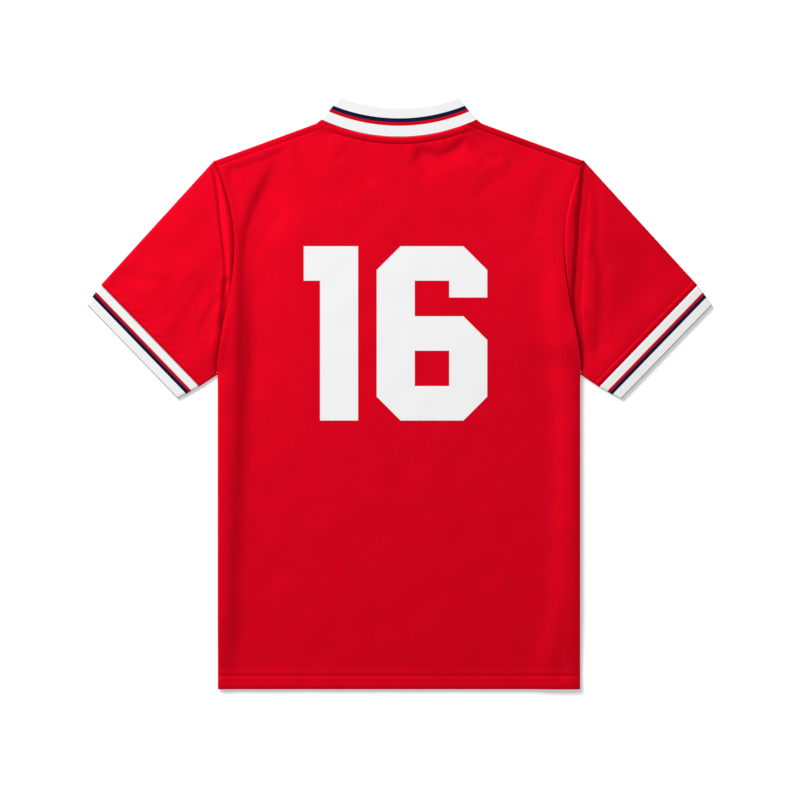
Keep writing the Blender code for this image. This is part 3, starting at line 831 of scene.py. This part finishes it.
corner_x = neck_corner_x()
corner_share = corner_x / HALF_WIDTH
neck_columns = np.linspace(0, corner_share, round(corner_x / COLUMN_STEP) + 1)
middle_columns = np.linspace(corner_share, SIDE_SHARE,
                             round((SIDE_SHARE - corner_share) * HALF_WIDTH / COLUMN_STEP) + 1)
side_columns = np.linspace(SIDE_SHARE, 1, round((1 - SIDE_SHARE) * HALF_WIDTH / SIDE_COLUMN_STEP) + 1)
back_columns = joined(neck_columns, middle_columns, side_columns)

tip_y = shoulder_seam_y(SHOULDER_TIP[0])
tip_x = armhole_x(tip_y) - fold_radius(KNIT) * math.pi / 2
back_top = top_edge(back_columns, corner_x, tip_x, neck_back_y, shoulder_seam_y)
BELOW_TOP = (31, 28, 25, 22, 19, 16.5, 14, 12, 10.8, 9.8, 9.1, 8.4, 7.4, 6, 4.5, 3, 2, 1.2, 0.6, 0)
back_rows = body_rows(back_top[1][-1], BELOW_TOP, ROW_STEP)
back = cloth("back", [panel_grid(back_columns, back_rows, back_top, body_z, overlap=1.2 * MM)],
             KNIT, red_knit, "back_panel")

# %% [markdown]
# The front lies on the table, face down. Its upper edge comes up over each shoulder and down to
# the shoulder seam on the back side, so the fold on the shoulder is not a seam. Its round neckline
# is lower than the back's and hidden under it.

# %% Front panel
WRAP_STEPS = 5


def wrap_grid(edge, edge_cut, outs, seam):
    """Rows that turn from the edge on the table up over the shoulder to the seam on the back."""
    radius = fold_radius(KNIT)
    plan = edge[:, :2]
    z_high = body_z(plan[:, 0], plan[:, 1])
    middle = (z_high + edge[:, 2]) / 2
    rows, cut = [], []
    for angle in np.linspace(0, math.pi, 2 * TURN_STEPS + 1):
        z = middle - (middle - edge[:, 2]) * math.cos(angle)
        rows.append(np.column_stack((plan + radius * math.sin(angle) * outs, z)))
        cut.append(edge_cut + (0, radius * angle))
    travelled = radius * math.pi
    for share in np.linspace(0, 1, WRAP_STEPS + 1)[1:]:
        flat = plan + share * (seam - plan)
        rows.append(np.column_stack((flat, body_z(flat[:, 0], flat[:, 1]))))
        cut.append(edge_cut + (0, travelled + share * SHOULDER_WRAP))
    return np.array(rows), np.array(cut)


neck_out = edge_out((NECK_HALF, NECK_END_Y), (COLLAR_HALF, COLLAR_END_Y), -1)
shoulder_out = edge_out(SHOULDER_NECK, SHOULDER_TIP, 1)
front_corner_x = NECK_HALF - FOLD_INSET * neck_out[0]
front_corner = np.array((front_corner_x, neck_back_y(front_corner_x)))
fold_start = np.array(SHOULDER_NECK) - FOLD_INSET * shoulder_out
fold_end = np.array(SHOULDER_TIP) - FOLD_INSET * shoulder_out
front_tip = np.array((armhole_x(fold_end[1]) - fold_radius(KNIT) * math.pi / 2, fold_end[1]))


shoulder_line = np.array((front_corner, fold_start, front_tip))
front_corner_share = front_corner[0] / HALF_WIDTH
front_neck_columns = np.sin(np.linspace(0, math.pi / 2, 26)) * front_corner_share
first = (fold_start[0] - front_corner[0]) / (front_tip[0] - front_corner[0])
shoulder_shares = np.concatenate(((0, first), np.linspace(0.1, 1, 31)))
front_columns = joined(front_neck_columns, front_corner_share + (1 - front_corner_share) * shoulder_shares)
front_top = top_edge(front_columns, front_corner[0], front_tip[0],
                     lambda x: neckline_y(x, *front_corner, NECK_FRONT_Y), lambda x: np.interp(x, *shoulder_line.T))
front_rows = body_rows(front_tip[1], (14, 9, 5, 2.5, 1.2, 0), 7 * MM)
front_points, front_cut = panel_grid(front_columns, front_rows, front_top, table_z)

front_grids = [(front_points, front_cut)]
first_column = len(front_neck_columns) - 1
front_half = len(front_columns) - 1 + TURN_STEPS
for side in (-1, 1):
    along = slice(front_half + side * first_column, None, side)
    edge, edge_cut = front_points[-1, along], front_cut[-1, along]
    outs = np.array([neck_out] + [shoulder_out] * (len(edge) - 1)) * (side, 1)
    seam_x = np.abs(edge[:, 0]) - (SHOULDER_WRAP - FOLD_INSET - SEAM_GAP) * shoulder_out[0]
    seam_x[0] = neck_corner_x(SEAM_GAP)
    seam = np.column_stack((side * seam_x, shoulder_seam_y(seam_x) + SEAM_GAP))
    front_grids.append(wrap_grid(edge, edge_cut, outs, seam))
front = cloth("front", front_grids, KNIT, red_knit, "front_panel")

# %% [markdown]
# ## Sleeves
#
# A sleeve is a tube of cloth pressed flat: one ring of the grid runs along the upper layer, round
# the fold at the top of the arm, back along the lower layer and round the underarm. Rings lie close
# together near the armhole, where the folds are narrow, and near the cuff, where the edge is
# doubled and stitched. Between them they spread out evenly.

# %% Rings of a flat tube
def pressed_ring(upper, upper_z, lower, lower_z, outs, wall):
    """One ring's points: along the upper layer, round the fold, back along the lower, round again."""
    radius = fold_radius(wall)
    points = np.column_stack((upper, upper_z)).tolist()
    for out, at, z_top, z_low, turns in (
        (outs[1], upper[-1], upper_z[-1], lower_z[-1], (0, math.pi)),
        (outs[0], upper[0], upper_z[0], lower_z[0], (math.pi, 0)),
    ):
        middle = (z_top + z_low) / 2
        for angle in np.linspace(*turns, 2 * TURN_STEPS + 1)[1:-1]:
            plan = at + radius * math.sin(angle) * out
            points.append((*plan, middle + (z_top - middle) * math.cos(angle)))
        if turns[0] == 0:
            points += np.column_stack((lower, lower_z))[::-1].tolist()
    return points + points[:1]


def tube_grid(rings, across):
    """Points of all rings, with the cut's U along the ring and its V as given for each ring."""
    points = np.array(rings)
    steps = np.linalg.norm(np.diff(points[len(points) // 2], axis=0), axis=1)
    u = np.concatenate(((0,), np.cumsum(steps)))
    across = np.broadcast_to(np.reshape(across, (len(points), -1)), points.shape[:2])
    return points, np.dstack((np.broadcast_to(u, points.shape[:2]), across))


def between(start, end, shares):
    return np.array(start) + np.array(shares)[:, None] * (np.array(end) - np.array(start))


# %% Height of a sleeve
cuff_out = edge_out(CUFF_SEAM_TOP, CUFF_SEAM_UNDER, 1)


def from_cuff_seam(x, y):
    """Distance up the sleeve from the cuff seam."""
    beyond = (np.abs(x) - CUFF_SEAM_TOP[0]) * cuff_out[0] + (y - CUFF_SEAM_TOP[1]) * cuff_out[1]
    return RIGHT_LONGER * (x > 0) - beyond


RIGHT_SAG = 1.3 * MM  # how far the right sleeve lies below the left


def sleeve_z(x, y):
    """Middle of the sleeve's upper layer."""
    folds = sum(fold_height(fold, x, y) for fold in SLEEVE_FOLDS)
    outside = np.abs(x) - armhole_x(y)
    tucked_in = -2.6 * MM * np.exp(-np.abs(outside) / (3.4 * MM))
    at_armhole = by_side(x, tucked_in, groove(outside, 0.5 * MM, 1.8 * MM))
    under_lip = groove(outside, 0.5 * MM * lip(y), 5 * MM)
    up = from_cuff_seam(x, y)
    sag = by_side(x, 0, -RIGHT_SAG) * (1 - on_step(x, y)) * smooth((up - 10 * MM) / (40 * MM))
    above_row = up - CUFF_STITCH - RIGHT_LONGER * (x > 0)
    doubled = 0.3 * MM * (1 - smooth(above_row / (2.5 * MM)))
    pulled = 0.10 * MM * np.sin(y / (1.7 * MM)) * bell(above_row, 4 * MM)
    at_cuff = groove(up, 1.2 * MM, 1.9 * MM) + groove(above_row, 0.45 * MM, 1.2 * MM)
    near_seams = armhole_rise(x, y) + at_armhole + under_lip + doubled + pulled + at_cuff
    return np.maximum(STACK - KNIT / 2 + folds + sag + near_seams + 1.3 * ripple(x, y), 1.75 * MM)


def sleeve_table_z(x, y):
    """Middle of the sleeve's lower layer, which tucks in over the front's edge at the armhole."""
    return table_z(x, y) + 0.75 * MM * bell(np.abs(x) - armhole_x(y), 2 * MM)


# %% Sleeve and its pair
NEAR_ARMHOLE = np.linspace(0, 32, 42) * MM
NEAR_CUFF = np.array((15, 13, 11.4, 10.4, 9.6, 8.8, 8.0, 7.2, 6, 4.5, 3, 2, 1.2, 0.6, 0)) * MM
MIDDLE_RINGS = 34
SLEEVE_POINTS = 80


def sleeve(name, side, node):
    top_out = edge_out(SHOULDER_TIP, CUFF_SEAM_TOP, 1)
    under_out = edge_out(SLEEVE_UNDERARM, CUFF_SEAM_UNDER, -1)
    start_y = (np.array(SHOULDER_TIP) - FOLD_INSET * top_out)[1]
    end_y = (np.array(SLEEVE_UNDERARM) - FOLD_INSET * under_out)[1]
    shares = np.linspace(0, 1, SLEEVE_POINTS)
    armhole_y = start_y + (end_y - start_y) * shares
    armhole = np.column_stack((armhole_x(armhole_y) - ARMHOLE_TUCK + UNDERARM_EASE * shares**6, armhole_y))
    seam = between(CUFF_SEAM_TOP - FOLD_INSET * top_out, CUFF_SEAM_UNDER - FOLD_INSET * under_out, shares)
    seam = seam + RIGHT_LONGER * (side > 0) * cuff_out
    outs = [top_out * (side, 1), under_out * (side, 1)]

    length = np.linalg.norm(seam - armhole, axis=1)
    room = length - NEAR_CUFF[0]
    squeeze = np.minimum(1, 0.65 * room / NEAR_ARMHOLE[-1])
    first = NEAR_ARMHOLE[:, None] * squeeze
    middle = np.linspace(first[-1], room, MIDDLE_RINGS + 2)[1:-1]
    distances = np.concatenate((first, middle, length - NEAR_CUFF[:, None]))
    rings = []
    for distance in distances:
        line = (armhole + (distance / length)[:, None] * (seam - armhole)) * (side, 1)
        x, y = line.T
        rings.append(pressed_ring(line, sleeve_z(x, y), line, sleeve_table_z(x, y), outs, KNIT))
    points, cut = tube_grid(rings, distances[:, SLEEVE_POINTS // 3])
    return cloth(name, [(points, cut)], KNIT, red_knit, node)


left_sleeve = sleeve("left_sleeve", -1, "sleeve_left")
right_sleeve = sleeve("right_sleeve", 1, "sleeve_right")

# %% [markdown]
# ## Cuffs and collar
#
# Both are bands of rib knitted to width, doubled into a ring and sewn on by one edge. The rib is
# thicker than the knit, its free edge is rounded, and at the seam it dips down to meet the knit.
# Cuff and collar differ only in their lines in plan.

# %% Height of a band
def band_z(x, y, up, depth):
    """Middle of a band's upper layer, up from its seam: it dips at the seam and at its free edge."""
    at_seam = groove(up, 0.15 * MM, 1.0 * MM)
    at_edge = groove(depth - up, 0.1 * MM, 1.2 * MM)
    return STACK - RIB / 2 + at_seam + at_edge + 0.8 * ripple(x, y)


def band_rows(depth):
    """Distances across a band, close together near both edges."""
    return joined(np.array((0, 0.6, 1.4, 2.6)) * MM, np.linspace(2.6 * MM, depth - 2.6 * MM, 11),
                  depth - np.array((2.6, 1.4, 0.6, 0)) * MM)


# %% Cuffs
CUFF_POINTS = 60


def cuff(name, side, node):
    top_out = edge_out(CUFF_SEAM_TOP, CUFF_END_TOP, 1)
    under_out = edge_out(CUFF_SEAM_UNDER, CUFF_END_UNDER, -1)
    shares = np.linspace(0, 1, CUFF_POINTS)
    seam = between(CUFF_SEAM_TOP - FOLD_INSET * top_out, CUFF_SEAM_UNDER - FOLD_INSET * under_out, shares)
    end = between(CUFF_END_TOP - FOLD_INSET * top_out, CUFF_END_UNDER - FOLD_INSET * under_out, shares)
    seam = seam + (SEAM_GAP + RIGHT_LONGER * (side > 0)) * cuff_out
    end = end + RIGHT_LONGER * (side > 0) * cuff_out
    outs = [top_out * (side, 1), under_out * (side, 1)]
    across = band_rows(CUFF_DEPTH)
    rings = []
    for up in across:
        line = (seam + up / CUFF_DEPTH * (end - seam)) * (side, 1)
        x, y = line.T
        lower_z = np.full(len(line), RIB / 2)
        rings.append(pressed_ring(line, band_z(x, y, up, CUFF_DEPTH), line, lower_z, outs, RIB))
    return cloth(name, [tube_grid(rings, across)], RIB, cuff_rib, node)


left_cuff = cuff("left_cuff", -1, "cuff_left")
right_cuff = cuff("right_cuff", 1, "cuff_right")

# %% Collar
COLLAR_POINTS = 45  # in each half

collar_along = np.array((COLLAR_HALF - NECK_HALF, COLLAR_END_Y - NECK_END_Y))
collar_along = collar_along / np.linalg.norm(collar_along)
half_shares = np.sin(np.linspace(0, math.pi / 2, COLLAR_POINTS))
collar_shares = np.concatenate((-half_shares[:0:-1], half_shares))
collar_across = SEAM_GAP + band_rows(COLLAR_DEPTH - SEAM_GAP)
collar_rings = []
for up in collar_across:
    half, end_y = np.array((NECK_HALF, NECK_END_Y)) + up * collar_along
    x = (half - FOLD_INSET * neck_out[0]) * collar_shares
    back_y = arc_y(x, half, end_y, NECK_BACK_Y + up)
    front_y = neckline_y(x, x[-1], back_y[-1], NECK_FRONT_Y + up)
    upper, lower = np.column_stack((x, back_y)), np.column_stack((x, front_y))
    upper_z = COLLAR_RISE + band_z(x, back_y, up, COLLAR_DEPTH)
    outs = [neck_out * (-1, 1), neck_out]
    collar_rings.append(pressed_ring(upper, upper_z, lower, np.full(len(x), RIB / 2), outs, RIB))
collar = cloth("neckband", [tube_grid(collar_rings, collar_across)], RIB, collar_rib, "collar")

# %% [markdown]
# ## The figures
#
# The one and the six are cut from smooth white film and pressed on with heat, so they follow every
# fold of the back and the knit shows through them faintly. Each is an outline filled with a net of
# points and lifted to just above the cloth.

# %% Film
FILM = 0.12 * MM
FILM_GAP = 0.04 * MM

film, film_shader = new_material("white film", Roughness=0.55, Specular_IOR_Level=0.25)
film_place = add_node(film, "ShaderNodeTexCoord").outputs["Object"]
film_clouds = add_noise(film, film_place, 60.0, Detail=2.0)
film_white = add_ramp(film, film_clouds, (0, (0.695, 0.695, 0.70, 1)), (1, (0.71, 0.71, 0.715, 1)))
connect(film, film_shader, "Base Color", film_white)
knit_bump(film, film_shader, 0.08)

# %% Outlines
FIGURE_TOP, FIGURE_BOTTOM = 191.6 * MM, -35.1 * MM
STROKE = 49.5 * MM
BAR = 44.8 * MM  # height of the six's top bar and of the one's flag
CUT = 31 * MM
ONE_LEFT, ONE_RIGHT = -123.9 * MM, -53.2 * MM
SIX_LEFT, SIX_RIGHT = -29 * MM, 114.8 * MM
SIX_ARM_Y = 124.9 * MM
SIX_BOWL_Y = 100.5 * MM
FIGURE_NET = 5 * MM

FLAG_Y = FIGURE_TOP - BAR
STEM = ONE_RIGHT - STROKE
top, bottom, left, right = FIGURE_TOP, FIGURE_BOTTOM, SIX_LEFT, SIX_RIGHT
inner_left, inner_right = left + STROKE, right - STROKE
ONE = [(ONE_LEFT, top), (ONE_RIGHT, top), (ONE_RIGHT, bottom), (STEM, bottom), (STEM, FLAG_Y), (ONE_LEFT, FLAG_Y)]
SIX = [(left + CUT, top), (right - CUT, top), (right, top - CUT), (right, SIX_ARM_Y), (inner_right, SIX_ARM_Y),
       (inner_right, FLAG_Y), (inner_left, FLAG_Y), (inner_left, SIX_BOWL_Y), (right - CUT, SIX_BOWL_Y),
       (right, SIX_BOWL_Y - CUT), (right, bottom + CUT), (right - CUT, bottom), (left + CUT, bottom),
       (left, bottom + CUT), (left, top - CUT)]
SIX_WINDOW = [(inner_left, bottom + BAR), (inner_right, bottom + BAR), (inner_right, SIX_BOWL_Y - BAR),
              (inner_left, SIX_BOWL_Y - BAR)]


# %% Filling and laying a figure
def inside(x, y, outline):
    """True where a ray to the right crosses the outline an odd number of times."""
    crossed = np.zeros(x.shape, int)
    for (x1, y1), (x2, y2) in zip(outline, outline[1:] + outline[:1]):
        if y1 != y2:
            crossed += ((y1 > y) != (y2 > y)) & (x < x1 + (y - y1) / (y2 - y1) * (x2 - x1))
    return crossed % 2 == 1


def figure(name, outlines, node):
    """A figure cut to its outer outline, with a window where there is a second one."""
    places, edges = [], []
    for outline in outlines:
        first = len(places)
        for start, end in zip(outline, outline[1:] + outline[:1]):
            steps = max(1, round(math.dist(start, end) / FIGURE_NET))
            places += between(start, end, np.arange(steps) / steps).tolist()
        last = len(places) - 1
        edges += [(i, i + 1) for i in range(first, last)] + [(last, first)]
    rim = np.array(places)
    x, y = np.meshgrid(*(np.arange(*span, FIGURE_NET) for span in ((ONE_LEFT, right), (bottom, top))))
    kept = inside(x, y, outlines[0])
    for window in outlines[1:]:
        kept &= ~inside(x, y, window)
    for px, py in zip(x[kept], y[kept]):
        if np.hypot(*(rim - (px, py)).T).min() > FIGURE_NET * 0.5:
            places.append((px, py))
    net = geometry.delaunay_2d_cdt([Vector(p) for p in places], edges, [], 2, MM / 1000)
    plan = np.array(net[0])
    z = body_z(plan[:, 0], plan[:, 1]) + KNIT / 2 + FILM_GAP + FILM / 2
    bm = bmesh.new()
    uv_layer = bm.loops.layers.uv.new("cut")
    verts = [bm.verts.new(p) for p in np.column_stack((plan, z)).tolist()]
    for triangle in net[2]:
        centre = plan[list(triangle)].mean(axis=0)[:, None]
        if any(inside(*centre, window) for window in outlines[1:]):
            continue
        face = bm.faces.new([verts[i] for i in triangle])
        for loop in face.loops:
            loop[uv_layer].uv = loop.vert.co.xy
    return finish_cloth(name, bm, FILM, film, node)


one = figure("figure_one", [ONE], "number_one")
six = figure("figure_six", [SIX, SIX_WINDOW], "number_six")

# %% [markdown]
# ## Stitches
#
# A line of stitches shows as a row of short bits of thread, each sunk at both ends. One stitch is a
# small spindle. It is copied along a line on the cloth by array arithmetic, and a whole line of
# stitches is one mesh, so a thousand stitches cost little.

# %% Thread
# The thread's red is partly its own tone and partly painted shade: it is darker than the knit to stand for the
# shade in the stitch holes.
thread, thread_shader = new_material("red thread", Base_Color=(0.44, 0.001, 0.006, 1), Roughness=0.5,
                                     Specular_IOR_Level=0.1, Specular_Tint=(0.7, 0.02, 0.04, 1))
thread_place = add_node(thread, "ShaderNodeTexCoord").outputs["Object"]
add_bump(thread, thread_shader, add_noise(thread, thread_place, 2500.0, Detail=1.0), 0.4, 0.05 * MM)

# %% One stitch, and a line of them
STITCH_LENGTH = 2.2 * MM
STITCH_PITCH = 2.8 * MM
THREAD_RADIUS = 0.22 * MM
THREAD_RIDES = 0.55  # of its radius, how far the thread's middle is above the cloth
SPINDLE_SIDES = 6


def spindle():
    """Points and faces of one stitch along X: a tip, two rings and a tip."""
    turns = np.linspace(0, 2 * math.pi, SPINDLE_SIDES, endpoint=False)
    ring = np.column_stack((np.zeros(SPINDLE_SIDES), np.cos(turns), np.sin(turns))) * THREAD_RADIUS
    reach = np.array((STITCH_LENGTH / 2, 0, -THREAD_RADIUS))
    shoulder = np.array((STITCH_LENGTH * 0.3, 0, 0))
    points = np.concatenate(([-reach * (1, 1, -1)], ring - shoulder, ring + shoulder, [reach]))
    faces = []
    for i in range(SPINDLE_SIDES):
        j = (i + 1) % SPINDLE_SIDES
        a, b = 1 + i, 1 + j
        c, d = a + SPINDLE_SIDES, b + SPINDLE_SIDES
        faces += [(0, b, a, a), (a, b, d, c), (c, d, 2 * SPINDLE_SIDES + 1, 2 * SPINDLE_SIDES + 1)]
    return points, faces


def line_of_stitches(name, line, height):
    """Stitches along a line in plan, on the knit whose middle is at height(x, y)."""
    line = np.array(line)
    steps = np.linalg.norm(np.diff(line, axis=0), axis=1)
    travelled = np.concatenate(((0,), np.cumsum(steps)))
    count = int(travelled[-1] / STITCH_PITCH)
    middles = (np.arange(count) + 0.5) * travelled[-1] / count
    (x, y), ahead, behind = (
        [np.interp(middles + shift, travelled, line[:, i]) for i in (0, 1)]
        for shift in (0, STITCH_PITCH / 4, -STITCH_PITCH / 4)
    )
    angle = np.arctan2(ahead[1] - behind[1], ahead[0] - behind[0])[:, None]
    points, faces = spindle()
    turned_x = points[:, 0] * np.cos(angle) - points[:, 1] * np.sin(angle) + x[:, None]
    turned_y = points[:, 0] * np.sin(angle) + points[:, 1] * np.cos(angle) + y[:, None]
    turned_z = points[:, 2] + (height(x, y) + KNIT / 2 + THREAD_RADIUS * THREAD_RIDES)[:, None]
    verts = np.dstack((turned_x, turned_y, turned_z)).reshape(-1, 3)
    all_faces = [tuple(dict.fromkeys(i + k * len(points) for i in face)) for k in range(count) for face in faces]
    mesh = bpy.data.meshes.new(name)
    mesh.from_pydata(verts.tolist(), [], all_faces)
    mesh.shade_smooth()
    mesh.materials.append(thread)
    piece = add_object(name, mesh)
    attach(piece, "root")
    print(name, count, "stitches")
    return piece


# %% Stitches of the hem, the neck and the cuffs
hem_end = HALF_WIDTH - 3 * MM
hem_x = np.linspace(-hem_end, hem_end, 60)
hem_lines = [line_of_stitches(f"hem_stitches_{i + 1}", [(x, HEM_Y + row) for x in hem_x], body_z)
             for i, row in enumerate(HEM_STITCHES)]

neck_middle_y, neck_radius = neck_circle()
neck_x = np.linspace(-1.02, 1.02, 80) * neck_corner_x()
neck_line = [(x, neck_middle_y - math.sqrt((neck_radius + NECK_ROLL) ** 2 - x * x)) for x in neck_x]
neck_stitches = line_of_stitches("neck_stitches", neck_line, body_z)


cuff_line = between(CUFF_SEAM_TOP, CUFF_SEAM_UNDER, np.linspace(0.015, 0.985, 40)) - CUFF_STITCH * cuff_out
left_cuff_stitches = line_of_stitches("left_cuff_stitches", cuff_line * (-1, 1), sleeve_z)
right_cuff_stitches = line_of_stitches("right_cuff_stitches", cuff_line, sleeve_z)
